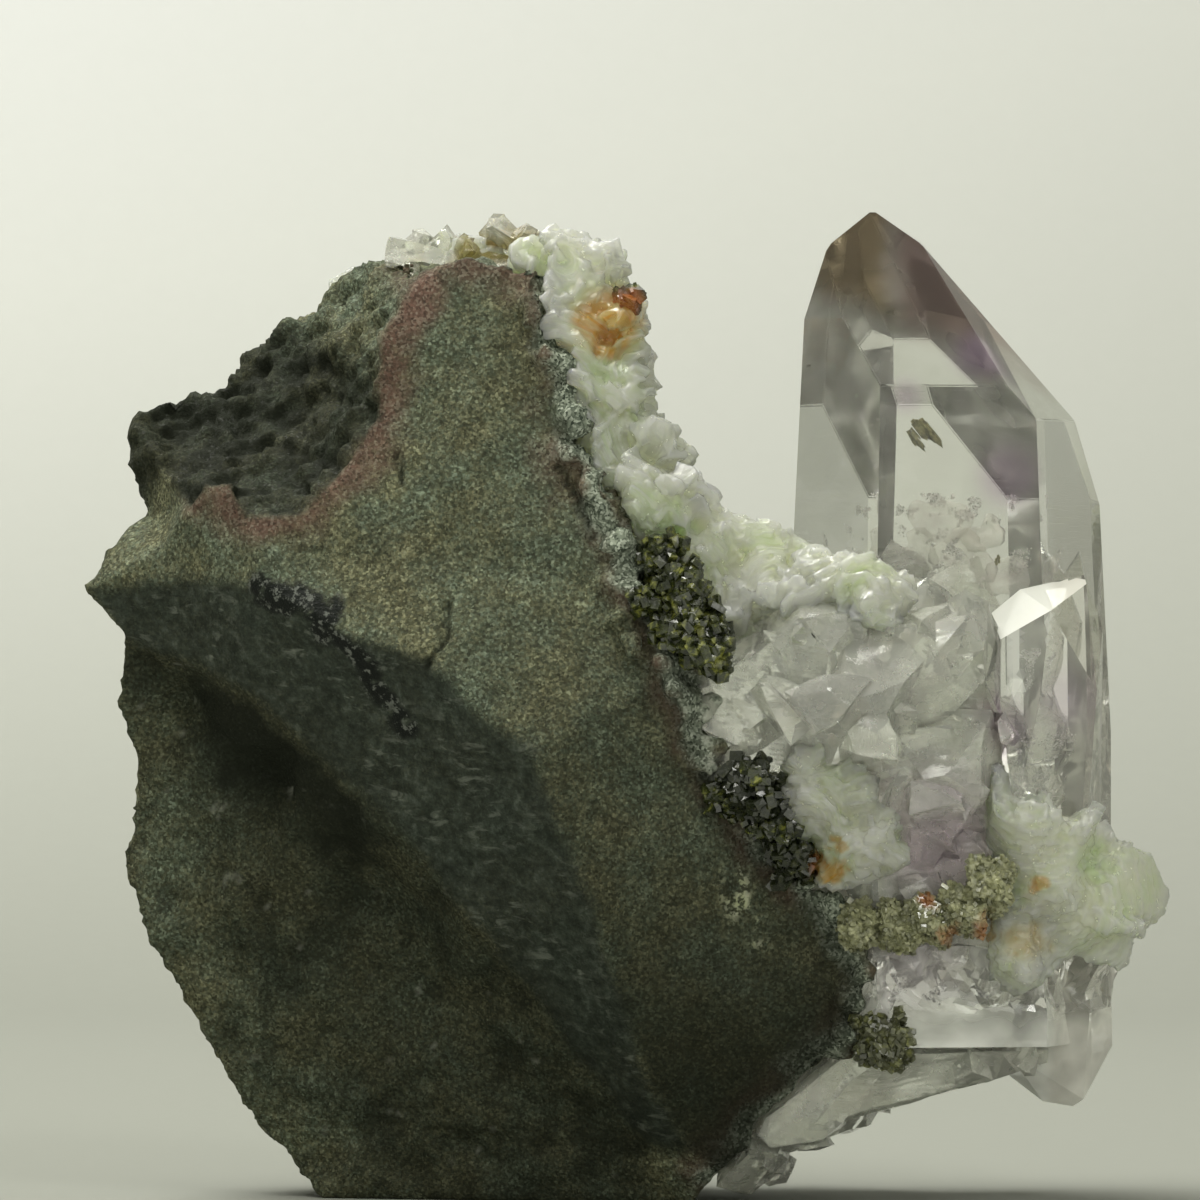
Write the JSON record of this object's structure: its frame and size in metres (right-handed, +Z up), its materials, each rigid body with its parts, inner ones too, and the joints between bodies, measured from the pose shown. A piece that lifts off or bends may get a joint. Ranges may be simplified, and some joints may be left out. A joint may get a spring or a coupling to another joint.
{
  "type": "amethyst with prehnite and epidote",
  "caption": "Mineral specimen: dark basalt wedge with a clear amethyst point, pale green prehnite crust, glassy quartz and small dark epidote clusters.",
  "frame": {"origin": "middle of the footprint's bounding box, at the level of the flat underside it rests on", "axes": "+Z up, +X to the right towards the amethyst crystal, +Y away from the side the picture shows"},
  "size_m": [0.0612, 0.0318, 0.0561],
  "materials": {
    "basalt": "rough broken rock with reddish and blue-green rims",
    "amethyst": "clear crystal, smoky lilac at the tip",
    "quartz": "glassy, cloudy inside",
    "prehnite": "pale green, translucent, silky blades",
    "epidote": "dark olive green, shiny"
  },
  "bodies": {
    "root": {"basalt_matrix": "basalt", "amethyst_crystal": "amethyst", "quartz_base": "quartz", "quartz_druse_top": "quartz", "prehnite_crust": "prehnite", "prehnite_fan_lower": "prehnite", "prehnite_lobe_right": "prehnite", "epidote_upper": "epidote", "epidote_middle": "epidote", "epidote_lower": "epidote", "epidote_band": "epidote", "epidote_tip": "epidote"}
  },
  "joints": []
}
